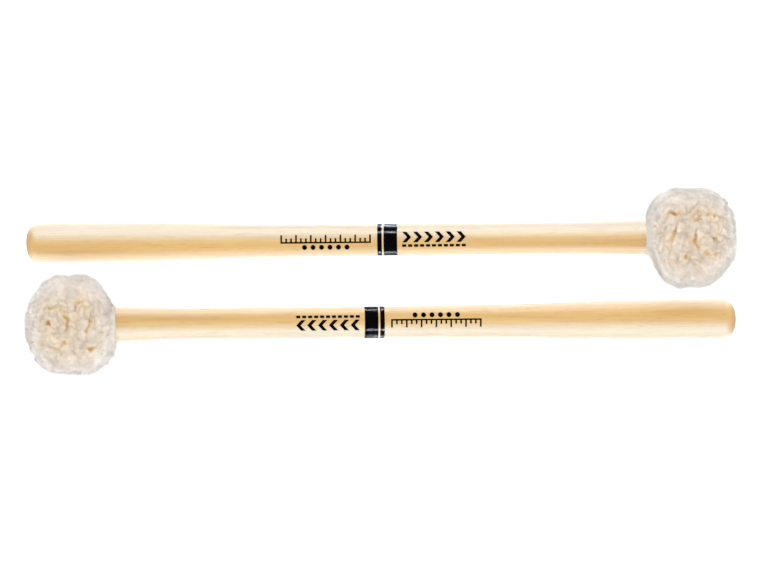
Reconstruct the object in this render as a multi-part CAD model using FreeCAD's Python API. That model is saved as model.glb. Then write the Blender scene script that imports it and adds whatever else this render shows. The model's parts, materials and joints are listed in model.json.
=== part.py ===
import FreeCAD, Part

import math
import os

from FreeCAD import Placement, Rotation, Vector

# A pair of soft drum mallets: turned hickory shafts with fleece covers tied over hard felt cores.
#
# One mallet is drawn along its own +X axis, from the tip of its butt at x = 0 to the crown of its
# head, with its printed marks facing +Z. Two of them are then laid on the plane z = 0, side by side
# and head to tail. Each rests on its head, which the table presses flat in one small patch, and on
# the rim of its butt. The origin lies midway between the two, on that plane. Lengths are in mm.

# Whole mallet
overall_length = 362.0  # butt to crown
axis_spacing = 42.0  # between the two shafts, seen from above

# Shaft, from butt to tenon
grip_radius = 10.0
grip_end = 45.0  # the straight grip ends and the taper begins
taper_in = 25.0  # how far the taper's curve leans on the grip's line, and then on the throat's
taper_out = 23.0
butt_dome_radius = 21.0
butt_corner_radius = 6.8
throat_start = 128.0  # from here the stick narrows evenly to its waist
throat_radius = 8.4
waist_start = 170.0
waist_end = 278.0
waist_radius = 8.05
waist_taper = 0.1  # radius lost along the waist
flare_in = 14.0  # the same for the flare between the waist and the neck
flare_out = 15.0
neck_start = 316.0
neck_radius = 8.8
tenon_radius = 4.75
tenon_length = 22.0
tenon_chamfer = 1.0

# Printed film on the shaft
film = 0.06
narrow_band_start = 179.6
narrow_band_width = 2.3
wide_band_start = 182.8
wide_band_width = 6.9

# Ruler printed on the butt side of the bands
gauge_start = 131.0
gauge_pitch = 2.5
gauge_ticks = 19
gauge_line_y = -1.3
gauge_line_width = 0.8
gauge_tick_width = 0.85
gauge_short_tick = 1.8
gauge_long_tick = 3.5
dot_count = 6
dot_radius = 1.25
dot_pitch = 4.3
dot_y = -3.7

# Arrowheads printed on the head side of the bands
arrow_start = 192.2
arrow_count = 6
arrow_pitch = 5.5
arrow_reach = 2.5  # how far the point stands ahead of the tails
arrow_stroke = 2.2
arrow_half_height = 2.7
arrow_centre_y = 1.1
dash_count = 11
dash_length = 2.1
dash_height = 1.3
dash_y = -3.2

# Head
head_diameter = 52.0
head_length = 48.0  # crown to back; the shaft's neck passes through the back
belt_half = 4.0  # the straight part round the middle, each way
head_edge_radius = 17.0
head_sink = 0.6  # how far the fleece is pressed flat where it rests
core_radius = 15.7
core_length = 26.0
core_edge_radius = 6.5
glue = 0.2
cloth = 0.8  # knitted backing of the fleece
cuff_length = 6.5  # backing drawn along the neck, under the tie

# Tie that draws the cover shut round the neck
thread_radius = 0.5
thread_turns = 4
thread_pitch = 1.05
thread_gap = 0.02
knot_radius = 1.6
tail_length = 5.0
tail_rise = 12.0  # angle at which each cut end stands out from the winding, in degrees

# Places that follow from the sizes
head_centre = overall_length - head_length / 2
core_back = head_centre - core_length / 2
core_front = head_centre + core_length / 2
bore_radius = tenon_radius + glue
tenon_end = core_back + tenon_length
cuff_start = core_back - cuff_length
thread_middle = cuff_start + cuff_length / 2
winding_radius = neck_radius + cloth + thread_radius + thread_gap  # to the thread's own centre
winding_length = (thread_turns - 1) * thread_pitch + 2 * thread_radius

AXIS_START = Vector(0, 0, 0)
AXIS = Vector(1, 0, 0)


def at(x, radius):
    """A point of an outline, which is drawn in the XZ plane."""
    return Vector(x, 0, radius)


def line(*points):
    """The straight edges that join these points."""
    return [Part.LineSegment(a, b).toShape() for a, b in zip(points, points[1:])]


def curve(*poles):
    """A smooth edge that leaves its first pole and reaches its last along the outer legs."""
    bezier = Part.BezierCurve()
    bezier.setPoles(list(poles))
    return bezier.toShape()


def round_edge(centre_x, centre_r, radius, first, last):
    """An arc between two angles, in degrees, measured from +X towards +Z."""
    angles = [math.radians(a) for a in (first, (first + last) / 2, last)]
    points = [at(centre_x + radius * math.cos(a), centre_r + radius * math.sin(a)) for a in angles]
    return Part.Arc(*points).toShape()


def turned(edges):
    """The solid that a closed outline sweeps round the mallet's axis."""
    return Part.Face(Part.Wire(edges)).revolve(AXIS_START, AXIS, 360)


def rod(start, end, radius):
    """A straight round bar on the mallet's axis."""
    return Part.makeCylinder(radius, end - start, at(start, 0), AXIS)


def shaft_side(raised=0.0):
    """The shaft's outline from the grip to the shoulder, raised by the thickness of a film."""
    lift = Vector(0, 0, raised)
    corner_x, _, _ = butt_rounding()
    throat_slope = (throat_radius - waist_radius) / (waist_start - throat_start)
    slope = waist_taper / (waist_end - waist_start)
    waist_low = waist_radius - waist_taper
    grip = [at(corner_x, grip_radius), at(grip_end, grip_radius)]
    taper = [
        at(grip_end, grip_radius),
        at(grip_end + taper_in, grip_radius),
        at(throat_start - taper_out, throat_radius + throat_slope * taper_out),
        at(throat_start, throat_radius),
    ]
    waist = [
        at(throat_start, throat_radius),
        at(waist_start, waist_radius),
        at(waist_end, waist_low),
    ]
    flare = [
        at(waist_end, waist_low),
        at(waist_end + flare_in, waist_low - slope * flare_in),
        at(neck_start - flare_out, neck_radius),
        at(neck_start, neck_radius),
    ]
    neck = [at(neck_start, neck_radius), at(core_back, neck_radius)]
    return [
        *line(*[p + lift for p in grip]),
        curve(*[p + lift for p in taper]),
        *line(*[p + lift for p in waist]),
        curve(*[p + lift for p in flare]),
        *line(*[p + lift for p in neck]),
    ]


def butt_rounding():
    """Where the butt's corner arc is centred, and the angle at which the dome runs into it."""
    centre_r = grip_radius - butt_corner_radius
    between = butt_dome_radius - butt_corner_radius
    centre_x = butt_dome_radius - math.sqrt(between**2 - centre_r**2)
    meeting = 180.0 - math.degrees(math.asin(centre_r / between))
    return centre_x, centre_r, meeting


def shaft():
    """One turned stick: domed butt, grip, taper, throat, waist, flared neck and tenon."""
    corner_x, corner_r, meeting = butt_rounding()
    butt = [
        round_edge(butt_dome_radius, 0, butt_dome_radius, 180, meeting),
        round_edge(corner_x, corner_r, butt_corner_radius, meeting, 90),
    ]
    tenon = line(
        at(core_back, neck_radius),
        at(core_back, tenon_radius),
        at(tenon_end - tenon_chamfer, tenon_radius),
        at(tenon_end, tenon_radius - tenon_chamfer),
        at(tenon_end, 0),
        at(0, 0),
    )
    return turned([*butt, *shaft_side(), *tenon])


def film_sleeve():
    """A printed film over the whole side of the shaft, from which every mark is cut."""
    corner_x, _, _ = butt_rounding()
    down = line(at(core_back, neck_radius + film), at(core_back, 0), at(corner_x, 0))
    up = line(at(corner_x, 0), at(corner_x, grip_radius + film))
    sleeve = turned([*shaft_side(film), *down, *up]).cut(shaft())
    sleeve.rotate(AXIS_START, AXIS, 180)  # the seam goes below, away from the marks
    return sleeve


def band(start, width):
    """A printed ring round the shaft."""
    return film_sleeve().common(rod(start, start + width, 2 * grip_radius))


def stamp(shapes):
    """The film under these flat shapes, which are pressed on to the shaft from above."""
    sleeve = film_sleeve()
    prisms = [Part.Face(s).extrude(Vector(0, 0, 2 * grip_radius)) for s in shapes]
    pieces = [sleeve.common(p) for p in prisms]
    return Part.makeCompound([solid for piece in pieces for solid in piece.Solids])


def rectangle(x0, x1, y0, y1):
    """A closed outline in the plane of the mallet's axis."""
    corners = [Vector(x0, y0, 0), Vector(x1, y0, 0), Vector(x1, y1, 0), Vector(x0, y1, 0)]
    return Part.Wire(line(*corners, corners[0]))


def gauge_outline():
    """A ruler's baseline and all its ticks as one comb, with every third tick longer."""
    top = gauge_line_y + gauge_line_width / 2
    bottom = gauge_line_y - gauge_line_width / 2
    half = gauge_tick_width / 2
    comb = [Vector(gauge_start - half, bottom, 0)]
    for tick in range(gauge_ticks):
        x = gauge_start + tick * gauge_pitch
        height = gauge_long_tick if tick % 3 == 0 else gauge_short_tick
        comb += [Vector(x - half, top, 0), Vector(x - half, top + height, 0)]
        comb += [Vector(x + half, top + height, 0), Vector(x + half, top, 0)]
    comb.append(Vector(gauge_start + (gauge_ticks - 1) * gauge_pitch + half, bottom, 0))
    return Part.Wire(line(*comb, comb[0]))


def grip_gauge():
    """The printed ruler, and a centred row of dots below it."""
    middle = gauge_start + (gauge_ticks - 1) * gauge_pitch / 2
    dots = []
    for dot in range(dot_count):
        x = middle + (dot - (dot_count - 1) / 2) * dot_pitch
        dots.append(Part.Wire(Part.makeCircle(dot_radius, Vector(x, dot_y, 0))))
    return stamp([gauge_outline(), *dots])


def arrow_mark():
    """A row of printed arrowheads that point to the head, over a row of dashes."""
    outlines = []
    for arrow in range(arrow_count):
        x = arrow_start + arrow * arrow_pitch
        low, high = arrow_centre_y - arrow_half_height, arrow_centre_y + arrow_half_height
        back = [Vector(x, low, 0), Vector(x + arrow_reach, arrow_centre_y, 0), Vector(x, high, 0)]
        front = [p + Vector(arrow_stroke, 0, 0) for p in reversed(back)]
        outlines.append(Part.Wire(line(*back, *front, back[0])))
    span = (arrow_count - 1) * arrow_pitch + arrow_reach + arrow_stroke - dash_length
    for dash in range(dash_count):
        x = arrow_start + dash * span / (dash_count - 1)
        low, high = dash_y - dash_height / 2, dash_y + dash_height / 2
        outlines.append(rectangle(x, x + dash_length, low, high))
    return stamp(outlines)


def barrel(back, front, radius, edge):
    """A short round drum with rounded edges."""
    return turned(
        [
            *line(at(back, 0), at(back, radius - edge)),
            round_edge(back + edge, radius - edge, edge, 180, 90),
            *line(at(back + edge, radius), at(front - edge, radius)),
            round_edge(front - edge, radius - edge, edge, 90, 0),
            *line(at(front, radius - edge), at(front, 0), at(back, 0)),
        ]
    )


def core_blank():
    """The felt core before it is bored."""
    return barrel(core_back, core_front, core_radius, core_edge_radius)


def head_core():
    """Hard felt core with a blind bore for the tenon."""
    return core_blank().cut(rod(core_back, tenon_end, bore_radius))


def glue_line():
    """The set glue that fills the bore round the tenon."""
    return rod(core_back, tenon_end, bore_radius).cut(shaft())


def bag():
    """The backing's outside, filled: a bag over the core with a cuff drawn along the neck."""
    over_core = barrel(
        core_back - cloth, core_front + cloth, core_radius + cloth, core_edge_radius + cloth
    )
    return over_core.fuse(rod(cuff_start, core_back, neck_radius + cloth)).removeSplitter()


def cover_backing():
    """The knitted backing cloth, which wraps the core and closes on the shaft."""
    return bag().cut(core_blank()).cut(shaft())


def tie_thread():
    """The waxed thread wound round the cuff, each turn lying beside the next."""
    first = thread_middle - (thread_turns - 1) * thread_pitch / 2
    turns = []
    for turn in range(thread_turns):
        centre = at(first + turn * thread_pitch, 0)
        turns.append(Part.makeTorus(winding_radius, thread_radius, centre, AXIS))
    return Part.makeCompound(turns)


def tie_knot():
    """The knot on the winding, with the thread's two cut ends."""
    centre = Vector(thread_middle, winding_radius + knot_radius, 0)
    knot = Part.makeSphere(knot_radius, centre)
    rise = math.radians(tail_rise)
    for side in (-1, 1):
        along = Vector(0, math.sin(rise), side * math.cos(rise))
        knot = knot.fuse(Part.makeCylinder(thread_radius, tail_length, centre, along))
    return knot.cut(tie_thread())


def pile_side():
    """The head's outline: a straight belt, rounded over at both ends into a shallow dome."""
    reach = head_length / 2 - belt_half
    edge_r = head_diameter / 2 - head_edge_radius
    dome_radius = (reach**2 + edge_r**2 - head_edge_radius**2) / (2 * (reach - head_edge_radius))
    dome_x = dome_radius - head_length / 2
    meeting = math.degrees(math.atan2(edge_r, belt_half + dome_x))
    middle, belt = head_centre, head_diameter / 2
    return [
        round_edge(middle + dome_x, 0, dome_radius, 180, 180 - meeting),
        round_edge(middle - belt_half, edge_r, head_edge_radius, 180 - meeting, 90),
        *line(at(middle - belt_half, belt), at(middle + belt_half, belt)),
        round_edge(middle + belt_half, edge_r, head_edge_radius, 90, meeting),
        round_edge(middle - dome_x, 0, dome_radius, meeting, 0),
    ]


def cover_pile():
    """The wool pile as a plain solid, pressed flat underneath, hollow for all that it covers."""
    back, front = at(overall_length - head_length, 0), at(overall_length, 0)
    solid = turned([*pile_side(), *line(front, back)]).cut(table())
    groove_radius = winding_radius + thread_radius + thread_gap
    groove_half = winding_length / 2 + thread_gap
    groove = rod(thread_middle - groove_half, thread_middle + groove_half, groove_radius)
    for inside in (bag(), shaft(), groove, tie_knot()):
        solid = solid.cut(inside)
    return solid


def lie_down():
    """How a mallet lies: pitched up to its head, so that head and butt rim both meet z = 0."""
    rim_x, rim_r, _ = butt_rounding()
    head_height = head_diameter / 2 - head_sink
    pitch = 0.0
    for _ in range(5):  # the rim's height hardly changes with the pitch, so this settles at once
        rim_height = rim_r * math.cos(pitch) + butt_corner_radius
        pitch = math.asin((head_height - rim_height) / (head_centre - rim_x))
    butt_height = head_height - head_centre * math.sin(pitch)
    tilt = Rotation(Vector(0, 1, 0), -math.degrees(pitch))
    butt = Vector(-overall_length / 2 * math.cos(pitch), axis_spacing / 2, butt_height)
    return Placement(butt, tilt)


def table():
    """The table under a lying mallet, in the mallet's own frame."""
    size = 2 * overall_length
    slab = Part.makeBox(size, size, head_diameter, Vector(-size / 2, -size / 2, -head_diameter))
    slab.Placement = lie_down().inverse().multiply(slab.Placement)
    return slab


PIECES = {
    "shaft": shaft,
    "narrow_band": lambda: band(narrow_band_start, narrow_band_width),
    "wide_band": lambda: band(wide_band_start, wide_band_width),
    "grip_gauge": grip_gauge,
    "arrow_mark": arrow_mark,
    "head_core": head_core,
    "glue_line": glue_line,
    "cover_backing": cover_backing,
    "tie_thread": tie_thread,
    "tie_knot": tie_knot,
    "cover_pile": cover_pile,
}


def main():
    os.makedirs("parts", exist_ok=True)
    first = lie_down()
    second = Placement(Vector(0, 0, 0), Rotation(Vector(0, 0, 1), 180)).multiply(first)
    for name, make in PIECES.items():
        made = make()
        for number, place in ((1, first), (2, second)):
            piece = made.copy()
            piece.Placement = place.multiply(piece.Placement)
            piece.exportStep(f"parts/mallet_{number}_{name}.step")
            print(number, name, piece.isValid(), len(piece.Solids), "solids", round(piece.Volume, 2))


main()
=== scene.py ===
"""The looks of a pair of soft drum mallets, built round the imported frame.

Each mallet is worked out in its own frame first, in metres: its X axis runs from the tip of the butt
at x = 0 to the crown of the head, and its printed marks face +Z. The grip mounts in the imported
record say where that frame lies in the row's frame.
"""

import json
import math

import bmesh
import bpy
import numpy as np
from mathutils import Matrix, Vector

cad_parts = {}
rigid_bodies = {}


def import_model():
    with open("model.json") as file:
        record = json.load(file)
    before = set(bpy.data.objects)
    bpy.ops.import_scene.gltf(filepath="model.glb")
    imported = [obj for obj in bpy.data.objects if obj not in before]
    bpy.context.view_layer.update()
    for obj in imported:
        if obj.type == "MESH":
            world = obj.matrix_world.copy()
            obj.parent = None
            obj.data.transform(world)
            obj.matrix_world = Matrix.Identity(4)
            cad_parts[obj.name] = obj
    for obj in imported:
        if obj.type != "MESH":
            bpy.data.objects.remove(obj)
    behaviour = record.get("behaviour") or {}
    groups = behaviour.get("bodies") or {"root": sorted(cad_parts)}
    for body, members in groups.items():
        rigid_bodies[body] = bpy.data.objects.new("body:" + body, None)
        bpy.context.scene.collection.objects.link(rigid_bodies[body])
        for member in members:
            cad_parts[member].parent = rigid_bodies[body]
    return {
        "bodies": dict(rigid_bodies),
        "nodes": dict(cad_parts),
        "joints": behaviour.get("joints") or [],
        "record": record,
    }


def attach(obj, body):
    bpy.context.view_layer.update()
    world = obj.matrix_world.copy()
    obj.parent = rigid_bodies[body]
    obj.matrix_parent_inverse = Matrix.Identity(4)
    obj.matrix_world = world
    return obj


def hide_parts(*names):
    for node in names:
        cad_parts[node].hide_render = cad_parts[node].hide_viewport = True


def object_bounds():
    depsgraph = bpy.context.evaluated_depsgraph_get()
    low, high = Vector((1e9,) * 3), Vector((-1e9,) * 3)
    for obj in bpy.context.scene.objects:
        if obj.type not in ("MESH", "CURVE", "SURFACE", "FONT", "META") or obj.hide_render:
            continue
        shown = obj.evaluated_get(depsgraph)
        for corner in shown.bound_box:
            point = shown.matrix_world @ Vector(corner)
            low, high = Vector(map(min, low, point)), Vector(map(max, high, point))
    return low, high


MM = 0.001

# Shaft
OVERALL_LENGTH = 0.362
GRIP_RADIUS = 0.010
GRIP_END = 0.045
TAPER_IN, TAPER_OUT = 0.025, 0.023
BUTT_DOME_RADIUS = 0.021
BUTT_CORNER_RADIUS = 0.0068
THROAT_START, THROAT_RADIUS = 0.128, 0.0084
WAIST_START, WAIST_RADIUS = 0.170, 0.00805
WAIST_END, WAIST_TAPER = 0.278, 0.0001
FLARE_IN, FLARE_OUT = 0.014, 0.015
NECK_START, NECK_RADIUS = 0.316, 0.0088
CORE_LENGTH = 0.026
TENON_RADIUS, TENON_LENGTH, TENON_CHAMFER = 0.00475, 0.022, 0.001
SHAFT_SEGMENTS = 96

# Head
HEAD_RADIUS = 0.026
HEAD_LENGTH = 0.048
BELT_HALF = 0.004
HEAD_EDGE_RADIUS = 0.017
HEAD_CENTRE = OVERALL_LENGTH - HEAD_LENGTH / 2
CORE_BACK = HEAD_CENTRE - CORE_LENGTH / 2

# Fleece
NECK_HOLE_RADIUS = 0.0092
NECK_HOLE_ANGLE = math.atan2(NECK_HOLE_RADIUS, HEAD_LENGTH / 2 - 0.0014)  # seen from the head's centre
PILE_INSET = 0.0011  # from the plain outline to the tufts' tops, so that loose fibres have room
FIBRE_REACH = 0.0012  # how far loose fibres may stand out past the outline
TUFT_SPACING = 0.0049
TUFT_LENGTH, TUFT_WIDTH, TUFT_FLATNESS = 1.25, 0.84, 0.6  # a tuft's cell, along and across its lock
TUFT_HEIGHT_SPREAD = 0.00024
TUFT_DOME_RADIUS, TUFT_DOME_FALL = 0.0026, 0.0006  # how far a tuft's top falls by that far from its centre
TUFT_EDGE_WIDTH = 0.0008
STRAND_SPACING, STRAND_HEIGHT = 0.0019, 0.00012
GROOVE_WIDTH, GROOVE_DEPTH = 0.0013, 0.00062  # between tufts
CREASE_WIDTH, CREASE_DEPTH = 0.0008, 0.0021
CREASE_SHADE_WIDTH = 0.0014  # of the tan painted shade along a crease
WARPS = ((0.0085, 0.0014), (0.0030, 0.0005))  # wavelength and amount by which the tufts' cells are bent
BROAD_LUMPS, SMALL_LUMPS, FINE_LUMPS = (0.020, 0.0004), (0.0045, 0.00022), (0.0026, 0.00022)  # likewise
NOTCH_SPACING, NOTCH_DEPTH, NOTCH_SEED = 0.0025, 0.0008, 5
RIM_SINK = 0.0003  # the pile's edge round the neck lies a little lower
FLOOR_GAP = 0.0002  # from the table to the lowest wool
PRESSING_ROOM = 0.0008  # height above that within which pressed wool is packed
CREASE_BALL_RADIUS = 0.0255  # the ball that the upper face's flat creases are laid over
RANDOM_CREASES = 18
FIBRE_DEPTH = 0.0002  # how far below the pile's surface loose fibres start
# The main creases of the upper face: paths in mm along X and Y from the head's centre, and strengths
UPPER_CREASES = (
    (1.0, ((-14.5, 9.5), (-11.0, 13.0), (-8.0, 11.5))),
    (0.6, ((2.0, 13.0), (9.0, 11.5), (14.5, 9.3), (18.0, 7.6))),
    (0.7, ((4.6, 11.6), (2.4, 8.0), (0.9, 6.9))),
    (0.9, ((-21.0, 5.8), (-19.0, 5.4))),
    (0.8, ((-7.8, 5.8), (-9.0, 2.2), (-11.0, -1.5), (-11.2, -5.8))),
    (0.9, ((1.7, 2.9), (0.8, -0.7), (0.3, -2.9), (2.4, -5.8), (4.6, -8.0))),
    (1.0, ((9.7, -0.7), (11.1, -1.5), (10.3, -3.0))),
    (0.8, ((-2.0, -7.3), (-4.2, -11.6), (-6.0, -12.4))),
    (0.5, ((7.5, -6.5), (6.2, -8.7), (11.0, -9.3), (14.5, -8.0))),
    (0.5, ((17.0, 0.0), (17.5, -5.8))),
)
# The hollow for the core, the cuff and the tie: angle from -X in degrees, distance from the head's centre
HOLLOW = (
    (math.degrees(NECK_HOLE_ANGLE), 0.02434),
    (26.5, 0.0222),
    (35.0, 0.0226),
    (44.0, 0.0206),
    (58.0, 0.0190),
    (72.0, 0.01745),
    (90.0, 0.0168),
    (112.0, 0.01740),
    (132.0, 0.01890),
    (146.0, 0.01700),
    (180.0, 0.0142),
)
# Where the head swells or falls in from the plain outline: direction, amount and angular size
SWELLS = (
    ((-0.77, 0.64, 0.0), 0.0014, 0.40),
    ((-0.79, -0.61, 0.0), -0.0018, 0.38),
    ((0.72, -0.69, 0.0), -0.0007, 0.30),
    ((0.15, 1.00, 0.0), -0.0008, 0.50),
)

# Loose fibres, by piece: look, count, points along one, length, radius and curl in mm, looseness, stand
FIBRES = {
    "wool_nap": ("nap", 6000, 6, 2.8, 0.070, 0.45, 0.35, 0.20),
    "wool_curls": ("fuzz", 5500, 6, 2.8, 0.050, 0.45, 0.40, 0.45),
    "wool_fuzz": ("fuzz", 14000, 4, 2.6, 0.032, 0.30, 0.80, 0.80),
}

# Studio
SHAFT_PITCH = 0.042
FRAME_WIDTH = 0.3853  # what the camera sees at the mallets' mean height, across
CAMERA_LENS = 150.0
CAMERA_SENSOR = 36.0
CAMERA_ROLL = math.radians(0.5)
SKY, FLOOR_GLOW = 1.2, 1.1
# Panels that only a shaft's gloss sees: start and end in degrees from straight up towards its outer side,
# and radiance
OUTER_PANELS = ((14, 45, 3.3), (45, 70, 6.0), (70, 95, 5.4), (95, 145, 1.8), (145, 178, 1.6))
INNER_PANELS = ((-100, -72, 3.6), (-145, -100, 1.9))
# Narrow ones, for the lines of shine on the bands
STRIPS = ((48, 60, 210.0), (104, 136, 60.0), (-116, -96, 60.0))
OUTER_COLOUR, INNER_COLOUR, STRIP_COLOUR = (0.52, 0.79, 1.0), (0.74, 0.88, 1.0), (0.85, 0.9, 1.0)
PANEL_LENGTH, STRIP_LENGTH = 1.8, 0.3
PANEL_DISTANCE = 0.8
# Lamps that make up for the light the heads keep from the wood: name, place along the mallet, lean from
# straight up towards its inner side in degrees, radiance
FILLS = (("grip", 0.024, 50, 6.5), ("neck", 0.309, 0, 2.2))
FILL_DISTANCE, FILL_WIDTH, FILL_LENGTH = 0.3, 0.12, 0.10
FLOOR_HALF = 3.0

FIRST_SEED = 40
MALLETS = {1: 1, 2: -1}  # number: the way along Y that its outer side faces
BANDS = ("narrow_band", "wide_band")
CAD_LOOKS = {
    "narrow_band": "ink",
    "wide_band": "ink",
    "grip_gauge": "ink",
    "arrow_mark": "ink",
    "head_core": "felt",
    "glue_line": "glue",
    "cover_backing": "cloth",
    "tie_thread": "thread",
    "tie_knot": "thread",
}


# ---------------------------------------------------------------- places


def mallet_frame(record, number):
    """The matrix from a mallet's own frame to the row's, from its grip's mount."""
    grip = next(m for m in record["mounts"] if m["name"] == f"mallet_{number}_grip")
    along = -Vector(grip["axis"]).normalized()
    across = Vector((0, 0, 1)).cross(along).normalized()
    up = along.cross(across)
    mount_x = GRIP_END - grip["dims"]["length_mm"] * MM / 2
    butt = Vector(grip["pos_m"]) - along * mount_x
    frame = Matrix((along, across, up)).transposed().to_4x4()
    frame.translation = butt
    return frame


def in_row(points, frame):
    """Points of a mallet's own frame, as an array, in the row's frame."""
    turn = np.array(frame.to_3x3())
    return points @ turn.T + np.array(frame.translation)


# ---------------------------------------------------------------- meshes


def mesh_piece(name, points, triangles=(), quads=(), smooth=True):
    """A new object at the origin from arrays of points and faces."""
    corners = np.concatenate([np.asarray(triangles, int).ravel(), np.asarray(quads, int).ravel()])
    counts = [3] * len(triangles) + [4] * len(quads)
    mesh = bpy.data.meshes.new(name)
    mesh.vertices.add(len(points))
    mesh.vertices.foreach_set("co", np.asarray(points, float).ravel())
    mesh.loops.add(len(corners))
    mesh.loops.foreach_set("vertex_index", corners)
    mesh.polygons.add(len(counts))
    mesh.polygons.foreach_set("loop_start", np.concatenate([[0], np.cumsum(counts)[:-1]]))
    mesh.update(calc_edges=True)
    mesh.validate()
    mesh.polygons.foreach_set("use_smooth", [smooth] * len(mesh.polygons))
    piece = bpy.data.objects.new(name, mesh)
    bpy.context.scene.collection.objects.link(piece)
    return piece


def point_values(piece, name, values):
    """Stores one number, or one vector, per point under this name, for the material to read."""
    values = np.asarray(values, float)
    kind = "FLOAT" if values.ndim == 1 else "FLOAT_VECTOR"
    layer = piece.data.attributes.new(name, kind, "POINT")
    layer.data.foreach_set("value" if values.ndim == 1 else "vector", values.ravel())


def unit(vectors):
    """The vectors at length 1."""
    return vectors / np.linalg.norm(vectors, axis=1)[:, None]


def bell(distance, width):
    """1 at no distance, falling smoothly to about a third at the width."""
    return np.exp(-((distance / width) ** 2))


# ---------------------------------------------------------------- shaft


def arc(centre_x, centre_r, radius, first, last, steps):
    """Points of an arc in the outline's plane, between two angles in degrees from +X."""
    angles = np.radians(np.linspace(first, last, steps + 1))
    return [(centre_x + radius * math.cos(a), centre_r + radius * math.sin(a)) for a in angles]


def bezier(poles, steps):
    """Points of a cubic curve between its first and last pole."""
    t = np.linspace(0, 1, steps + 1)[:, None]
    p = np.array(poles)
    curve = (1 - t) ** 3 * p[0] + 3 * (1 - t) ** 2 * t * p[1] + 3 * (1 - t) * t**2 * p[2] + t**3 * p[3]
    return [tuple(point) for point in curve]


def straight(start, end, steps):
    """Points of a straight line between two points."""
    return [tuple(p) for p in np.linspace(start, end, steps + 1)]


def shaft_outline():
    """The turned stick's outline from the butt's tip to the tenon's end, as (x, radius) points."""
    corner_r = GRIP_RADIUS - BUTT_CORNER_RADIUS
    between = BUTT_DOME_RADIUS - BUTT_CORNER_RADIUS
    corner_x = BUTT_DOME_RADIUS - math.sqrt(between**2 - corner_r**2)
    meeting = 180 - math.degrees(math.asin(corner_r / between))
    throat_slope = (THROAT_RADIUS - WAIST_RADIUS) / (WAIST_START - THROAT_START)
    slope = WAIST_TAPER / (WAIST_END - WAIST_START)
    waist_low = WAIST_RADIUS - WAIST_TAPER
    tenon_end = CORE_BACK + TENON_LENGTH
    runs = [
        arc(BUTT_DOME_RADIUS, 0, BUTT_DOME_RADIUS, 180, meeting, 6),
        arc(corner_x, corner_r, BUTT_CORNER_RADIUS, meeting, 90, 16),
        straight((corner_x, GRIP_RADIUS), (GRIP_END, GRIP_RADIUS), 14),
        bezier(
            [
                (GRIP_END, GRIP_RADIUS),
                (GRIP_END + TAPER_IN, GRIP_RADIUS),
                (THROAT_START - TAPER_OUT, THROAT_RADIUS + throat_slope * TAPER_OUT),
                (THROAT_START, THROAT_RADIUS),
            ],
            32,
        ),
        straight((THROAT_START, THROAT_RADIUS), (WAIST_START, WAIST_RADIUS), 14),
        straight((WAIST_START, WAIST_RADIUS), (WAIST_END, waist_low), 36),
        bezier(
            [
                (WAIST_END, waist_low),
                (WAIST_END + FLARE_IN, waist_low - slope * FLARE_IN),
                (NECK_START - FLARE_OUT, NECK_RADIUS),
                (NECK_START, NECK_RADIUS),
            ],
            20,
        ),
        straight((NECK_START, NECK_RADIUS), (CORE_BACK, NECK_RADIUS), 4),
        straight((CORE_BACK, TENON_RADIUS), (tenon_end - TENON_CHAMFER, TENON_RADIUS), 6),
        [(tenon_end, TENON_RADIUS - TENON_CHAMFER)],
    ]
    points = []
    for run in runs:
        points += [p for p in run if not points or math.dist(p, points[-1]) > 1e-7]
    return np.array(points[1:])  # the tip itself is one shared point


def make_shaft(number, frame):
    """The stick as one closed turned mesh, with its own-frame coordinates kept for the grain."""
    outline = shaft_outline()
    rings, around = len(outline), SHAFT_SEGMENTS
    turns = np.linspace(0, 2 * math.pi, around, endpoint=False)
    x = np.repeat(outline[:, 0], around)
    r = np.repeat(outline[:, 1], around)
    angle = np.tile(turns, rings)
    points = np.column_stack([x, r * np.sin(angle), r * np.cos(angle)])
    tip, end = len(points), len(points) + 1
    points = np.vstack([points, [0, 0, 0], [outline[-1, 0], 0, 0]])
    ring, here = np.meshgrid(np.arange(rings - 1), np.arange(around), indexing="ij")
    beside = (here + 1) % around
    ring_start, next_start = ring * around, (ring + 1) * around
    quads = np.stack(
        [ring_start + here, next_start + here, next_start + beside, ring_start + beside], axis=-1
    )
    here = np.arange(around)
    beside = (here + 1) % around
    last = (rings - 1) * around
    butt_cap = np.column_stack([np.full(around, tip), here, beside])
    tenon_cap = np.column_stack([np.full(around, end), last + beside, last + here])
    name = f"mallet_{number}_turned_shaft"
    caps = np.vstack([butt_cap, tenon_cap])
    piece = mesh_piece(name, in_row(points, frame), caps, quads.reshape(-1, 4))
    point_values(piece, "own", points)
    return piece


# ---------------------------------------------------------------- fleece


def lumps(points, size, rng):
    """A ripple of this (wavelength, height)."""
    wavelength, height = size
    return height * ripple(points, wavelength, rng)


def ripple(points, wavelength, rng, count=14):
    """A smooth random field, mostly between -1 and 1, with features about a wavelength across."""
    directions = unit(rng.normal(size=(count, 3)))
    stretch = rng.uniform(0.7, 1.4, count)
    waves = directions * (2 * math.pi / wavelength * stretch)[:, None]
    phases = rng.uniform(0, 2 * math.pi, count)
    return np.sin(points @ waves.T + phases).sum(axis=1) / math.sqrt(2 * count)


def dome():
    """The radius of the head's shallow end domes, and how far past the middle each is centred."""
    reach = HEAD_LENGTH / 2 - BELT_HALF
    edge_r = HEAD_RADIUS - HEAD_EDGE_RADIUS
    radius = (reach**2 + edge_r**2 - HEAD_EDGE_RADIUS**2) / (2 * (reach - HEAD_EDGE_RADIUS))
    return radius, radius - HEAD_LENGTH / 2


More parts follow.
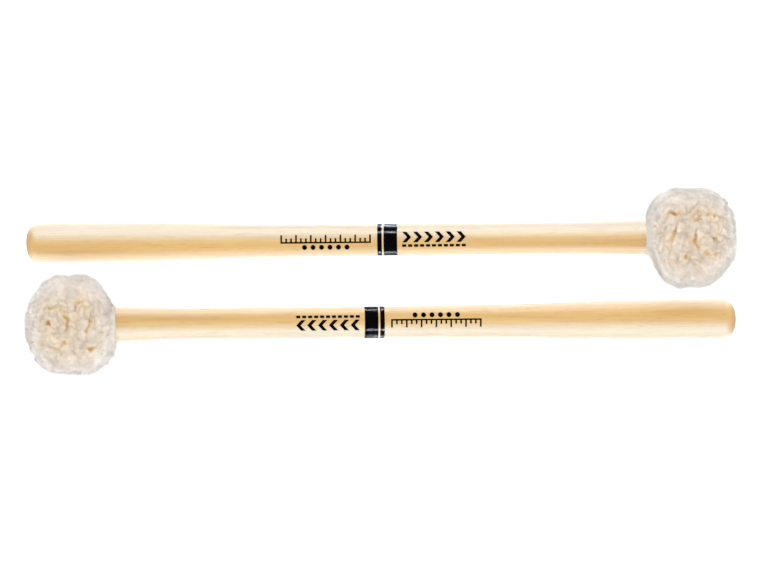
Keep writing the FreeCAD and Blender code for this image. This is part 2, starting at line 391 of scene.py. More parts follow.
def outside(points):
    """How far points stand outside the head's plain outline; the head's centre is at the origin."""
    dome_radius, dome_shift = dome()
    edge_r = HEAD_RADIUS - HEAD_EDGE_RADIUS
    x, r = np.abs(points[:, 0]), np.hypot(points[:, 1], points[:, 2])
    belt = r - HEAD_RADIUS
    edge = np.hypot(x - BELT_HALF, r - edge_r) - HEAD_EDGE_RADIUS
    end = np.hypot(x + dome_shift, r) - dome_radius
    on_dome = (r - edge_r) * (BELT_HALF + dome_shift) < (x - BELT_HALF) * edge_r
    return np.where(x < BELT_HALF, belt, np.where(on_dome, end, edge))


def outward(points):
    """The outline's normal at points."""
    step = 1e-5
    slopes = [outside(points + step * axis) - outside(points - step * axis) for axis in np.eye(3)]
    return unit(np.stack(slopes, axis=1))


def on_outline(directions, inset=0.0):
    """Where rays from the head's centre cross the plain outline, or one that far inside it."""
    near = np.full(len(directions), 0.010)
    far = np.full(len(directions), 0.040)
    for _ in range(24):
        middle = (near + far) / 2
        beyond = outside(directions * middle[:, None]) > -inset
        far = np.where(beyond, middle, far)
        near = np.where(beyond, near, middle)
    return directions * near[:, None]


def scatter(rng):
    """Tuft centres spread over the outline, none much nearer to another than the tufts' spacing."""
    candidates = on_outline(unit(rng.normal(size=(9000, 3))))
    off_axis = np.hypot(candidates[:, 1], candidates[:, 2])
    at_neck = (candidates[:, 0] < 0) & (off_axis < NECK_HOLE_RADIUS)
    kept = []
    for point in candidates[~at_neck]:
        if not kept or np.min(np.linalg.norm(np.array(kept) - point, axis=1)) > TUFT_SPACING * 0.8:
            kept.append(point)
    return np.array(kept)


class Tufts:
    """The tufts of one head: where each is, which way its lock lies, and how high it stands."""

    def __init__(self, rng):
        self.centres = scatter(rng)
        self.normals = outward(self.centres)
        sway = np.stack([ripple(self.centres, 0.018, rng) for _ in range(3)], axis=1)
        lean = sway + 0.7 * rng.normal(size=self.centres.shape)
        lean -= self.normals * np.sum(lean * self.normals, axis=1)[:, None]
        self.locks = unit(lean)
        self.sides = np.cross(self.normals, self.locks)
        self.heights = rng.normal(0, TUFT_HEIGHT_SPREAD, len(self.centres))
        self.bends = rng.normal(0, 100, len(self.centres))  # of the strands, per metre
        self.tints = rng.uniform(0, 1, len(self.centres))

    def nearest(self, points):
        """For each point: its tuft, its place along and across the lock, and two distances.

        The distances are the one to the tuft's centre and the one by which the next tuft is farther.
        """
        rows = []
        for chunk in np.array_split(points, max(1, len(points) // 4000)):
            gap = chunk[:, None, :] - self.centres[None]
            along = np.einsum("ijk,jk->ij", gap, self.locks) / TUFT_LENGTH
            across = np.einsum("ijk,jk->ij", gap, self.sides) / TUFT_WIDTH
            off = np.einsum("ijk,jk->ij", gap, self.normals) * TUFT_FLATNESS
            distance = np.sqrt(along**2 + across**2 + off**2)
            order = np.argpartition(distance, 1, axis=1)[:, :2]
            pair = np.take_along_axis(distance, order, axis=1)
            first = np.argmin(pair, axis=1)
            tuft = order[np.arange(len(chunk)), first]
            low, high = pair.min(axis=1), pair.max(axis=1)
            pick = np.arange(len(chunk)), tuft
            rows.append(np.column_stack([tuft, along[pick], across[pick], low, high - low]))
        table = np.vstack(rows)
        return table[:, 0].astype(int), table[:, 1], table[:, 2], table[:, 3], table[:, 4]


def crease_paths(rng):
    """The upper face's own creases, and random ones over the rest of the head."""
    paths = []
    for strength, flat in UPPER_CREASES:
        ground = np.array(flat) * MM
        height = np.sqrt(np.maximum(CREASE_BALL_RADIUS**2 - (ground**2).sum(axis=1), 1e-6))
        paths.append((strength, on_outline(unit(np.column_stack([ground, height])), PILE_INSET)))
    while len(paths) < len(UPPER_CREASES) + RANDOM_CREASES:
        heading = unit(rng.normal(size=(1, 3)))
        turn = unit(rng.normal(size=(1, 3)))
        steps = rng.integers(3, 6)
        walk = unit(heading + turn * np.linspace(0, rng.uniform(0.2, 0.45), steps)[:, None])
        walk = unit(walk + 0.05 * rng.normal(size=walk.shape))
        below_upper_face = walk[:, 2].max() < 0.35
        clear_of_neck = walk[:, 0].min() > -0.85
        if below_upper_face and clear_of_neck:
            paths.append((rng.uniform(0.25, 0.6), on_outline(walk, PILE_INSET)))
    return paths


def crease_depth(points, paths, width):
    """How deep in a crease each point is, from 0 to about 1; creases thin out towards their ends."""
    depth = np.zeros(len(points))
    for strength, path in paths:
        near = np.linalg.norm(points - path.mean(axis=0), axis=1) < 0.018
        some = points[near]
        best = np.zeros(len(some))
        for i, (start, end) in enumerate(zip(path[:-1], path[1:])):
            run = end - start
            t = np.clip((some - start) @ run / (run @ run), 0, 1)
            gap = np.linalg.norm(some - start - t[:, None] * run, axis=1)
            whole = (i + t) / (len(path) - 1)
            slim = 0.45 + 0.55 * np.sin(math.pi * whole)
            best = np.maximum(best, strength * slim * bell(gap, width * slim))
        depth[near] = np.maximum(depth[near], best)
    return depth


def fringe(points):
    """Small notches round the head's sides that are longest along Z, so that they show from above."""
    level = np.abs(unit(points)[:, 2])
    drawn_out = points * (1, 1, 0.35)
    notches = ripple(drawn_out, NOTCH_SPACING, np.random.default_rng(NOTCH_SEED)) - 0.35
    on_sides = np.clip(1.3 - level / 0.5, 0, 1)
    near_crown = np.clip(0.65 + points[:, 0] / 0.030, 0.3, 1)
    return NOTCH_DEPTH * notches * on_sides * near_crown


def swell(points):
    """How far the head's broad lumps, hollows and notches move the outline at points."""
    heading = unit(points)
    moved = fringe(points)
    for direction, amount, size in SWELLS:
        angle = np.arccos(np.clip(heading @ (np.array(direction) / np.linalg.norm(direction)), -1, 1))
        moved += amount * bell(angle, size)
    return moved


def inner_reach(directions):
    """Distances from the head's centre to the hollow in the pile, over the core, cuff and tie."""
    angle = np.degrees(np.arccos(np.clip(-directions[:, 0], -1, 1)))
    return np.interp(angle, *zip(*HOLLOW))


def pile_directions():
    """Unit vectors over a fine ball with the neck's hole cut out, their faces and the hole's edges."""
    ball = bmesh.new()
    bmesh.ops.create_icosphere(ball, subdivisions=7, radius=1.0)
    hole_x, hole_r = math.cos(NECK_HOLE_ANGLE), math.sin(NECK_HOLE_ANGLE)
    bmesh.ops.delete(ball, geom=[v for v in ball.verts if v.co.x < -hole_x], context="VERTS")
    rim = {v for e in ball.edges if e.is_boundary for v in e.verts}
    for vertex in rim:
        angle = math.atan2(vertex.co.z, vertex.co.y)
        vertex.co = (-hole_x, hole_r * math.cos(angle), hole_r * math.sin(angle))
    ball.verts.index_update()
    directions = unit(np.array([v.co for v in ball.verts]))
    faces = np.array([[v.index for v in f.verts] for f in ball.faces])
    edges = []
    for face in ball.faces:
        for loop in face.loops:
            if loop.edge.is_boundary:
                edges.append((loop.vert.index, loop.link_loop_next.vert.index))
    ball.free()
    return directions, faces, np.array(edges)


def press_on_table(points):
    """Points of the row's frame with whatever would reach below the table pressed on to it."""
    pressed = points.copy()
    start = FLOOR_GAP + PRESSING_ROOM
    low = pressed[:, 2] < start
    depth = (start - pressed[low, 2]) / PRESSING_ROOM
    pressed[low, 2] = FLOOR_GAP + PRESSING_ROOM * np.exp(-depth)
    return pressed


def tone_and_rim_light(normals, tints):
    """How white the wool is, from 0 to 1: partly a random tone, partly a painted rim light that leaves it
    palest round the two curly faces.
    """
    level = np.abs(normals[:, 2])
    off_faces = 1 - np.clip((level - 0.20) / 0.65, 0, 1)
    off_sides = 0.65 + 0.35 * np.clip(level / 0.25, 0, 1)
    # painted rim light: whiter where the surface faces sideways rather than up or down; the tints are the
    # wool's random tone
    return 0.30 * tints + 0.70 * off_faces * off_sides


def make_pile_body(number, frame, tufts, creases, rng):
    """The dense wool as a closed lumpy shell, and what its loose fibres need to know of its outside.

    Its points keep the painted shade, as 0 down in a crease to 1 on top of a tuft, and the tone with
    painted rim light.
    """
    directions, faces, rim = pile_directions()
    base = on_outline(directions, PILE_INSET)
    normals = outward(base)
    warp = np.zeros_like(base)
    for wavelength, amount in WARPS:
        warp += amount * np.stack([ripple(base, wavelength, rng) for _ in range(3)], axis=1)
    tuft, along, across, from_centre, valley = tufts.nearest(base + warp)
    # the two faces are the curliest, the brushed band round them is the smoothest
    on_faces = np.clip((0.0200 - np.hypot(0.8 * base[:, 0], base[:, 1])) / 0.006, 0, 1)
    on_sides = 1 - np.clip(np.abs(normals[:, 2]) / 0.35, 0, 1)
    curly = 0.3 + 0.7 * on_faces + 0.35 * on_sides
    # tufts: domed, each at its own height, with strands along the lock and grooves between them
    groove = bell(valley, GROOVE_WIDTH) * np.clip(0.65 + 0.5 * ripple(base, 0.011, rng), 0.15, 1.2)
    strands = np.sin((across + tufts.bends[tuft] * along**2) * 2 * math.pi / STRAND_SPACING)
    height = tufts.heights[tuft] * (1 - np.exp(-valley / TUFT_EDGE_WIDTH))
    height -= TUFT_DOME_FALL * (from_centre / TUFT_DOME_RADIUS) ** 2
    height += STRAND_HEIGHT * strands * (1 - groove) + lumps(base, FINE_LUMPS, rng)
    height -= GROOVE_DEPTH * groove
    # creases, and then the lumps that the whole head has
    crease = crease_depth(base + 0.35 * warp, creases, CREASE_WIDTH)
    height = height * curly - CREASE_DEPTH * crease
    height += lumps(base, BROAD_LUMPS, rng) + swell(base)
    height += lumps(base, SMALL_LUMPS, rng) * (1.5 - curly)
    height[np.unique(rim)] = -RIM_SINK
    outer = base + normals * height[:, None]
    inner = directions * inner_reach(directions)[:, None]
    count = len(outer)
    bridge = np.column_stack([rim[:, 1], rim[:, 0], rim[:, 0] + count, rim[:, 1] + count])
    triangles = np.vstack([faces, faces[:, ::-1] + count])
    centre = np.array([HEAD_CENTRE, 0, 0])
    points = press_on_table(in_row(np.vstack([outer, inner]) + centre, frame))
    piece = mesh_piece(f"mallet_{number}_fleece", points, triangles, bridge)
    # painted shade: a tan band along each crease, a little wider than the crease itself
    painted_crease_shade = crease_depth(base + 0.35 * warp, creases, CREASE_SHADE_WIDTH)
    # painted shade: the wool turns tan where it lies low, in the grooves between tufts and in the creases
    unshaded = np.clip(1 - 0.48 * groove * curly**2 - 0.45 * crease - 0.70 * painted_crease_shade, 0, 1)
    bare = np.clip(0.7 * groove * curly + 1.3 * painted_crease_shade, 0, 0.95)
    # painted rim light round the sides, with each tuft's random tone
    rim_lit_tone = tone_and_rim_light(normals, tufts.tints[tuft])
    point_values(piece, "unshaded", np.concatenate([unshaded, np.full(count, 0.8)]))
    point_values(piece, "rim_lit_tone", np.concatenate([rim_lit_tone, np.full(count, 0.5)]))
    return piece, (outer, faces, unshaded, bare)


def fibre_roots(surface, rng, count):
    """Random places on the pile's outside, few of them in creases, with their normals and painted shade.
    """
    outer, faces, unshaded, bare = surface
    a, b, c = (outer[faces[:, i]] for i in range(3))
    cross = np.cross(b - a, c - a)
    area = np.linalg.norm(cross, axis=1) * (1 - bare[faces].mean(axis=1))
    chosen = rng.choice(len(faces), size=count, p=area / area.sum())
    u, v = rng.uniform(size=(2, count))
    over = u + v > 1
    u[over], v[over] = 1 - u[over], 1 - v[over]
    roots = a[chosen] + u[:, None] * (b - a)[chosen] + v[:, None] * (c - a)[chosen]
    return roots, unit(cross[chosen]), unshaded[faces[chosen]].mean(axis=1)


def fibre_tubes(paths, radii):
    """Closed three-sided tubes that end in a point, along paths given as (fibres, points, 3)."""
    fibres, steps, _ = paths.shape
    tangents = np.gradient(paths, axis=1)
    tangents /= np.linalg.norm(tangents, axis=2)[:, :, None]
    helper = np.where(np.abs(tangents[:, :, 2:3]) < 0.8, [[[0, 0, 1.0]]], [[[1.0, 0, 0]]])
    first = np.cross(tangents, helper[:, :1])
    first /= np.linalg.norm(first, axis=2)[:, :, None]
    second = np.cross(tangents, first)
    rings = []
    for corner in range(3):
        angle = 2 * math.pi * corner / 3
        offset = math.cos(angle) * first[:, :-1] + math.sin(angle) * second[:, :-1]
        rings.append(paths[:, :-1] + offset * radii[:, :-1, None])
    body = np.stack(rings, axis=2).reshape(fibres, (steps - 1) * 3, 3)
    points = np.concatenate([body, paths[:, -1:]], axis=1)
    stride = (steps - 1) * 3 + 1
    faces = [(2, 1, 0)]
    for step in range(steps - 2):
        for corner in range(3):
            here, beside = step * 3 + corner, step * 3 + (corner + 1) % 3
            faces += [(here, beside, beside + 3), (here, beside + 3, here + 3)]
    last = (steps - 2) * 3
    faces += [(last + corner, last + (corner + 1) % 3, stride - 1) for corner in range(3)]
    triangles = np.array(faces)[None] + (np.arange(fibres) * stride)[:, None, None]
    return points.reshape(-1, 3), triangles.reshape(-1, 3), stride


def soft_shading(piece, directions):
    """Turns the piece's shading normals most of the way towards these directions."""
    mesh = piece.data
    own = np.empty(len(mesh.vertices) * 3)
    mesh.vertex_normals.foreach_get("vector", own)
    mesh.normals_split_custom_set_from_vertices(unit(0.3 * own.reshape(-1, 3) + directions))


def fibre_paths(look, roots, normals, straight_out, locks, rng):
    """The middle lines of many fibres, each leaning with its lock, drooping and winding."""
    _, count, steps, length, _, curl, loose, stand = look
    stray = rng.normal(size=(count, 3))
    heading = stand * (straight_out + 0.6 * normals)
    heading = unit(heading + (1 - loose) * 0.75 * locks + loose * 0.55 * stray)
    droop = locks * rng.uniform(0.2, 1.0, count)[:, None] - 0.35 * straight_out
    size = length * MM * rng.uniform(0.65, 1.35, count)
    side = unit(np.cross(heading, stray))
    other = np.cross(heading, side)
    turns = rng.uniform(0.6, 1.5, count) * rng.choice([-1, 1], count)
    phase = rng.uniform(0, 2 * math.pi, count)
    width = curl * MM * rng.uniform(0.5, 1.4, count)
    t = np.linspace(0, 1, steps)[None, :]
    swing = phase[:, None] + 2 * math.pi * turns[:, None] * t
    wind = (np.cos(swing) - np.cos(phase)[:, None])[:, :, None] * side[:, None]
    wind = wind + (np.sin(swing) - np.sin(phase)[:, None])[:, :, None] * other[:, None]
    run = heading[:, None] * t[:, :, None] + droop[:, None] * (t**2)[:, :, None] * 0.45
    start = roots - FIBRE_DEPTH * normals
    return start[:, None] + size[:, None, None] * run + width[:, None, None] * wind


def reined_in(paths):
    """The paths with whatever stands far out of the head drawn back towards it."""
    flat = paths.reshape(-1, 3)
    proud = outside(flat) - swell(flat)
    allowed = np.where(proud > 0, FIBRE_REACH * np.tanh(proud / FIBRE_REACH), proud)
    flat = flat - outward(flat) * (proud - allowed)[:, None]
    return flat.reshape(paths.shape)


def make_fibres(number, name, frame, tufts, surface, rng):
    """Many curly fibres that stand on the pile, shaded as softly as the ball they cover."""
    _, count, steps, _, radius, *_ = FIBRES[name]
    roots, normals, unshaded = fibre_roots(surface, rng, count)
    tuft, *_ = tufts.nearest(roots)
    straight_out = outward(roots)
    paths = fibre_paths(FIBRES[name], roots, normals, straight_out, tufts.locks[tuft], rng)
    along = np.linspace(0, 1, steps)
    taper = 1 - 0.75 * along**1.5
    radii = radius * MM * rng.uniform(0.7, 1.3, count)[:, None] * taper
    points, triangles, stride = fibre_tubes(reined_in(paths), radii)
    centre = np.array([HEAD_CENTRE, 0, 0])
    points = press_on_table(in_row(points + centre, frame))
    piece = mesh_piece(f"mallet_{number}_{name}", points, triangles)
    soft_shading(piece, np.repeat(straight_out @ np.array(frame.to_3x3()).T, stride, axis=0))
    mixed = 0.5 * tufts.tints[tuft] + 0.5 * rng.uniform(size=count)
    # painted rim light round the sides, with a random tone, as on the pile
    point_values(piece, "rim_lit_tone", np.repeat(tone_and_rim_light(straight_out, mixed), stride))
    point_values(piece, "unshaded", np.repeat(unshaded, stride))
    point_values(piece, "tip", np.tile(np.append(np.repeat(along[:-1], 3), 1.0), count))
    return piece


# ---------------------------------------------------------------- materials


class Material:
    """A node material under construction, on a Principled BSDF."""

    def __init__(self, name):
        self.material = bpy.data.materials.new(name)
        self.material.use_nodes = True
        self.tree = self.material.node_tree
        self.shader = self.tree.nodes["Principled BSDF"]

    def add(self, kind, inputs=(), **settings):
        """A new node with these settings, its inputs linked or set."""
        node = self.tree.nodes.new(kind)
        for key, value in settings.items():
            setattr(node, key, value)
        for key, value in dict(inputs).items():
            self.put(node.inputs[key], value)
        return node

    def put(self, socket, value):
        """Links a socket to another node's output, or sets its own value."""
        if isinstance(value, bpy.types.NodeSocket):
            self.tree.links.new(value, socket)
        else:
            socket.default_value = value

    def shade(self, **inputs):
        """Sets or links the shader's inputs; an underscore in a name stands for a space."""
        for key, value in inputs.items():
            self.put(self.shader.inputs[key.replace("_", " ")], value)
        return self.material

    def place(self):
        """The place on the piece, in metres."""
        return self.add("ShaderNodeTexCoord").outputs["Object"]

    def stored(self, name, output="Fac"):
        """A value kept with the points by point_values()."""
        return self.add("ShaderNodeAttribute", attribute_name=name).outputs[output]

    def scaled(self, vector, scale, offset):
        """The vector times the scale, moved by the offset."""
        node = self.add("ShaderNodeMapping", {"Vector": vector, "Scale": scale, "Location": offset})
        return node.outputs["Vector"]

    def noise(self, vector, scale, detail, roughness=0.55, distortion=0.0):
        """Cloudy noise, mostly between 0.3 and 0.7."""
        inputs = {"Vector": vector, "Scale": scale, "Detail": detail, "Roughness": roughness}
        node = self.add("ShaderNodeTexNoise", {**inputs, "Distortion": distortion})
        return node.outputs["Fac"]

    def wave(self, scale, distortion, detail, **settings):
        """Parallel bands over the piece."""
        inputs = {"Vector": self.place(), "Scale": scale, "Distortion": distortion, "Detail": detail}
        return self.add("ShaderNodeTexWave", inputs, **settings).outputs["Fac"]

    def ramp(self, factor, *stops):
        """The colour of (place, colour) stops at the factor."""
        node = self.add("ShaderNodeValToRGB", {"Fac": factor})
        elements = node.color_ramp.elements
        while len(elements) < len(stops):
            elements.new(0.5)
        for element, (place, colour) in zip(elements, stops):
            element.position = place
            element.color = (*colour, 1)
        return node.outputs["Color"]

    def grey(self, factor, low, high, start=0.0, end=1.0):
        """A number that goes from low to high as the factor goes from start to end."""
        node = self.add(
            "ShaderNodeMapRange",
            {"Value": factor, "From Min": start, "From Max": end, "To Min": low, "To Max": high},
        )
        return node.outputs["Result"]

    def mix(self, factor, first, second):
        """The first colour, going over to the second as the factor goes from 0 to 1."""
        node = self.add("ShaderNodeMix", data_type="RGBA")
        self.put(node.inputs[0], factor)
        for socket, value in ((node.inputs[6], first), (node.inputs[7], second)):
            self.put(socket, (*value, 1) if isinstance(value, tuple) else value)
        return node.outputs[2]

    def maths(self, operation, first, second):
        """Two numbers added, subtracted or multiplied."""
        node = self.add("ShaderNodeMath", operation=operation)
        self.put(node.inputs[0], first)
        self.put(node.inputs[1], second)
        return node.outputs[0]

    def bump(self, height, strength, distance):
        """Normals that follow a small relief."""
        node = self.add("ShaderNodeBump", {"Height": height, "Strength": strength, "Distance": distance})
        return node.outputs["Normal"]


def hickory(number):
    """Straight-grained hickory under clear lacquer, with fine streaks, pores and a darker end grain."""
    m = Material(f"hickory_{number}")
    own = m.stored("own", "Vector")
    shift = (0.13 * number, 0.07 * number, 0.31 * number)

    def grain(along, across, detail, distortion=0.0):
        """Noise drawn out along the mallet, at these numbers of waves per metre."""
        stretched = m.scaled(own, (along, across, across), shift)
        return m.noise(stretched, 1.0, detail, distortion=distortion)

    drift = grain(9, 60, 2)
    broad = grain(7, 260, 3, distortion=0.4)
    streaks = grain(32, 1500, 3)
    flecks = grain(75, 1050, 2)
    pores = m.grey(grain(110, 2400, 1), 1, 0, 0.27, 0.34)
    colour = m.ramp(
        broad,
        (0.30, (0.46, 0.250, 0.042)),
        (0.52, (0.535, 0.312, 0.054)),
        (0.72, (0.585, 0.362, 0.075)),
    )
    colour = m.mix(m.grey(drift, 0, 0.35, 0.35, 0.7), colour, (0.58, 0.340, 0.070))
    colour = m.mix(m.grey(streaks, 0.42, 0, 0.30, 0.55), colour, (0.42, 0.215, 0.05))
    colour = m.mix(m.grey(flecks, 0.8, 0, 0.30, 0.40), colour, (0.46, 0.225, 0.018))
    colour = m.mix(m.maths("MULTIPLY", pores, 0.40), colour, (0.28, 0.14, 0.035))
    x = m.add("ShaderNodeSeparateXYZ", {"Vector": own}).outputs["X"]
    end_grain = m.grey(x, 0.7, 0, 0.0008, 0.0042)
    colour = m.mix(end_grain, colour, (0.36, 0.165, 0.04))
    relief = m.maths("SUBTRACT", streaks, m.maths("MULTIPLY", pores, 0.6))
    lacquer = m.grey(streaks, 0.42, 0.50, 0.3, 0.7)
    return m.shade(
        Base_Color=colour,
        Roughness=m.maths("ADD", lacquer, m.grey(end_grain, 0.0, 0.4, 0, 0.7)),
        Normal=m.bump(relief, 0.10, 0.0001),
        Coat_Weight=m.grey(end_grain, 1.0, 0.1, 0, 0.7),
        Coat_Roughness=0.38,
        Specular_IOR_Level=0.8,
    )


def black_ink():
    """Printed black under lacquer, very slightly uneven."""
    m = Material("black_ink")
    speckle = m.noise(m.place(), 900, 3)
    return m.shade(
        Base_Color=m.ramp(speckle, (0.3, (0.0003, 0.0003, 0.0005)), (0.75, (0.001, 0.001, 0.0014))),
        Roughness=m.grey(speckle, 0.10, 0.15, 0.3, 0.7),
        Normal=m.bump(speckle, 0.05, 0.00005),
        Specular_IOR_Level=0.02,
    )


def pile_wool():
    """Dense cream wool: pale on the tufts, whiter round the sides as a painted rim light, tan painted
    shade down in the creases, soft all over.
    """
    m = Material("pile_wool")
    place = m.place()
    unshaded = m.stored("unshaded")
    rim_lit_tone = m.stored("rim_lit_tone")
    # painted rim light: the whiter colour where the sides face outward, mixed with the random tone
    cream = m.mix(rim_lit_tone, (0.86, 0.72, 0.56), (0.97, 0.96, 0.95))
    mottled = m.noise(place, 700, 4, roughness=0.7)
    cream = m.mix(m.grey(mottled, 0, 0.3, 0.35, 0.7), cream, (0.89, 0.76, 0.60))
    # painted shade: tan where the wool lies low in grooves and creases
    colour = m.mix(m.grey(unshaded, 1, 0, 0.05, 0.85), cream, (0.70, 0.48, 0.22))
    wisps = m.noise(place, 2600, 4, roughness=0.7, distortion=1.5)
    return m.shade(
        Base_Color=colour,
        Roughness=m.grey(mottled, 0.85, 1.0),
        Normal=m.bump(wisps, 0.5, 0.0003),
        Sheen_Weight=0.25,
        Sheen_Roughness=0.4,
        Sheen_Tint=(1, 1, 1, 1),
        Specular_IOR_Level=0.1,
    )


def wool_fibre(name, first, second, tip):
    """Single wool fibres between two colours, the paler one as painted rim light, paler at their tips and
    tan by the creases as painted shade.
    """
    m = Material(name)
    rim_lit_tone = m.stored("rim_lit_tone")
    along = m.stored("tip")
    unshaded = m.stored("unshaded")
    # painted rim light: the second colour where the fibres stand round the sides
    colour = m.mix(m.grey(along, 0, 0.35), m.mix(rim_lit_tone, first, second), tip)
    # painted shade: tan where the fibre's root lies low in a crease or groove
    colour = m.mix(m.grey(unshaded, 1, 0), colour, (0.82, 0.60, 0.32))
    return m.shade(Base_Color=colour, Roughness=m.grey(rim_lit_tone, 0.75, 0.95), Specular_IOR_Level=0.1)


def hard_felt():
    """Pressed, matted felt."""
    m = Material("hard_felt")
    mat = m.noise(m.place(), 900, 5, roughness=0.7, distortion=2.0)
    return m.shade(
        Base_Color=m.ramp(mat, (0.3, (0.52, 0.47, 0.39)), (0.7, (0.70, 0.66, 0.58))),
        Roughness=m.grey(mat, 0.85, 1.0),
        Normal=m.bump(mat, 0.5, 0.0003),
    )


def set_glue():
    """Yellowed wood glue."""
    m = Material("set_glue")
    cloud = m.noise(m.place(), 500, 2)
    return m.shade(
        Base_Color=m.ramp(cloud, (0.3, (0.62, 0.45, 0.18)), (0.7, (0.74, 0.60, 0.32))),
        Roughness=m.grey(cloud, 0.3, 0.5),
        Normal=m.bump(cloud, 0.1, 0.0001),
    )


def knitted_cloth():
    """The backing's fine knit."""
    m = Material("knitted_cloth")
    loops = m.wave(450, 1.5, 1)
    rows = m.wave(380, 1.0, 1, bands_direction="Z")
    knit = m.maths("MULTIPLY", loops, rows)
    return m.shade(
        Base_Color=m.ramp(knit, (0.0, (0.72, 0.63, 0.50)), (0.8, (0.86, 0.79, 0.68))),
        Roughness=m.grey(knit, 1.0, 0.85),
        Normal=m.bump(knit, 0.6, 0.0003),
    )


def waxed_thread():
    """Twisted waxed thread."""
    m = Material("waxed_thread")
    twist = m.wave(900, 0.5, 2, bands_direction="DIAGONAL")
    return m.shade(
        Base_Color=m.ramp(twist, (0.0, (0.60, 0.52, 0.38)), (1.0, (0.78, 0.71, 0.57))),
        Roughness=m.grey(twist, 0.55, 0.4),
        Normal=m.bump(twist, 0.4, 0.0001),
    )


def paper_floor():
    """White paper that glows like a light table, so that it hardly shows a shadow."""
    m = Material("paper_floor")
    cloud = m.noise(m.place(), 3.0, 2)
    return m.shade(
        Base_Color=m.ramp(cloud, (0.3, (0.30, 0.30, 0.30)), (0.7, (0.32, 0.32, 0.32))),
        Roughness=0.9,
        Emission_Color=(1, 1, 1, 1),
        Emission_Strength=FLOOR_GLOW,
        Specular_IOR_Level=0.1,
    )


def dress(thing, material):
    """Gives a piece or a CAD node this one material."""
    thing.data.materials.clear()
    thing.data.materials.append(material)


# ---------------------------------------------------------------- studio


def make_floor():
    """A large sheet at table height, which is no part of the mallets."""
    corners = [(FLOOR_HALF * x, FLOOR_HALF * y, 0) for x, y in ((-1, -1), (1, -1), (1, 1), (-1, 1))]
    floor = mesh_piece("floor", corners, quads=[(0, 1, 2, 3)], smooth=False)
    dress(floor, paper_floor())


def softbox(name, place, target, width, length, radiance, colour=(1, 1, 1)):
    """A rectangular lamp that faces its target, its length along X."""
    lamp = bpy.data.lights.new(name, "AREA")
    lamp.shape = "RECTANGLE"
    lamp.size, lamp.size_y = length, width
    lamp.energy = radiance * math.pi * width * length
    lamp.color = colour
    thing = bpy.data.objects.new(name, lamp)
    bpy.context.scene.collection.objects.link(thing)
    thing.location = place
    towards = (Vector(target) - Vector(place)).normalized()
    along = Vector((1, 0, 0))
    up = (-towards).cross(along)
    thing.rotation_mode = "QUATERNION"
    thing.rotation_quaternion = Matrix((along, up, -towards)).transposed().to_quaternion()
    thing.visible_camera = False
    return thing


def only_for(lamp, own):
    """Nothing but the pieces of this collection takes or blocks the lamp's light."""
    lamp.light_linking.receiver_collection = own
    lamp.light_linking.blocker_collection = own


def leaning(degrees, side):
    """A unit vector this far from straight up, towards this side of Y."""
    angle = math.radians(degrees)
    return Vector((0, side * math.sin(angle), math.cos(angle)))


def gloss_panels(name, outer, panels, length, colour, pieces):
    """Panels along one shaft, for these pieces' shine only."""
    axis = Vector((0, outer * SHAFT_PITCH / 2, GRIP_RADIUS))
    for i, (start, end, radiance) in enumerate(panels):
        near = axis + PANEL_DISTANCE * leaning(start, outer)
        far = axis + PANEL_DISTANCE * leaning(end, outer)
        centre, width = (near + far) / 2, (far - near).length
        panel = softbox(f"{name}_{i + 1}", centre, axis, width, length, radiance, colour)
        panel.visible_diffuse = False
        panel.data.cycles.use_multiple_importance_sampling = False
        only_for(panel, pieces)


def light_studio(mallets):
    """White light from all round, the panels for the shine, and small lamps on the shaded wood."""
    world = bpy.data.worlds.new("studio")
    world.use_nodes = True
    background = world.node_tree.nodes["Background"]
    background.inputs["Color"].default_value = (1, 1, 1, 1)
    background.inputs["Strength"].default_value = SKY
    bpy.context.scene.world = world
    for number, outer in MALLETS.items():
        frame, shaft, rings = mallets[number]
        name = f"mallet_{number}_gloss"
        wood = bpy.data.collections.new(name)
        bands = bpy.data.collections.new(f"{name}_bands")
        wood.objects.link(shaft)
        for ring in rings:
            bands.objects.link(ring)
        gloss_panels(f"{name}_outer", outer, OUTER_PANELS, PANEL_LENGTH, OUTER_COLOUR, wood)
        gloss_panels(f"{name}_inner", outer, INNER_PANELS, PANEL_LENGTH, INNER_COLOUR, wood)
        gloss_panels(f"{name}_bands", outer, STRIPS, STRIP_LENGTH, STRIP_COLOUR, bands)
        for spot, x, lean, radiance in FILLS:
            target = frame @ Vector((x, 0, 0))
            place = target + FILL_DISTANCE * leaning(lean, -outer)
            lamp_name = f"mallet_{number}_{spot}_fill"
            fill = softbox(lamp_name, place, target, FILL_WIDTH, FILL_LENGTH, radiance)
            fill.visible_glossy = False
            only_for(fill, wood)


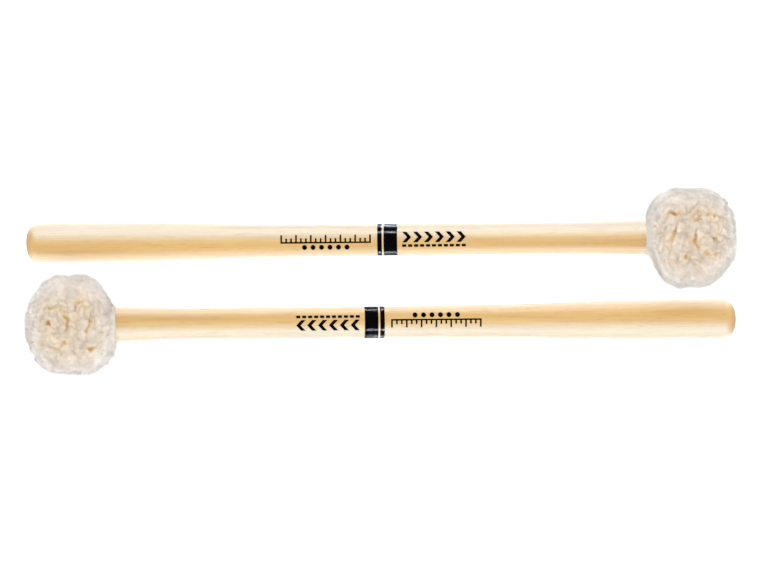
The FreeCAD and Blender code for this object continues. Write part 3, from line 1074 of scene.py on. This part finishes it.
def set_camera(centre):
    """Straight down over the middle of the pair, turned by half a degree."""
    data = bpy.data.cameras.new("camera")
    data.lens = CAMERA_LENS
    data.sensor_width = CAMERA_SENSOR
    camera = bpy.data.objects.new("camera", data)
    bpy.context.scene.collection.objects.link(camera)
    height = FRAME_WIDTH * CAMERA_LENS / CAMERA_SENSOR
    camera.location = (centre.x, centre.y, centre.z + height)
    camera.rotation_euler = (0, 0, -CAMERA_ROLL)
    bpy.context.scene.camera = camera
    bpy.context.scene.view_settings.view_transform = "Standard"


# ---------------------------------------------------------------- assembly


def build_mallet(number, record, looks):
    """Builds one mallet's own pieces and dresses its CAD nodes; returns what the lamps need."""
    frame = mallet_frame(record, number)
    body = f"mallet_{number}"
    rng = np.random.default_rng(FIRST_SEED + number)

    shaft = make_shaft(number, frame)
    dress(shaft, hickory(number))
    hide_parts(f"{body}_shaft")
    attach(shaft, body)

    tufts = Tufts(rng)
    creases = crease_paths(rng)
    fleece, surface = make_pile_body(number, frame, tufts, creases, rng)
    dress(fleece, looks["pile"])
    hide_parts(f"{body}_cover_pile")
    wool = [fleece]
    for name in FIBRES:
        fibres = make_fibres(number, name, frame, tufts, surface, rng)
        dress(fibres, looks[FIBRES[name][0]])
        wool.append(fibres)
    for piece in wool:
        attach(piece, body)

    for name, look in CAD_LOOKS.items():
        dress(frame_nodes[f"{body}_{name}"], looks[look])
    return frame, shaft, [frame_nodes[f"{body}_{name}"] for name in BANDS]


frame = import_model()
frame_nodes = frame["nodes"]
cad_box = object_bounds()
looks = {
    "ink": black_ink(),
    "pile": pile_wool(),
    "nap": wool_fibre("wool_nap", (0.95, 0.80, 0.63), (0.985, 0.98, 0.975), (0.98, 0.92, 0.85)),
    "fuzz": wool_fibre("wool_fuzz", (0.96, 0.83, 0.68), (0.99, 0.985, 0.98), (0.98, 0.94, 0.88)),
    "felt": hard_felt(),
    "glue": set_glue(),
    "cloth": knitted_cloth(),
    "thread": waxed_thread(),
}
mallets = {number: build_mallet(number, frame["record"], looks) for number in MALLETS}
set_camera((cad_box[0] + cad_box[1]) / 2)
light_studio(mallets)
make_floor()
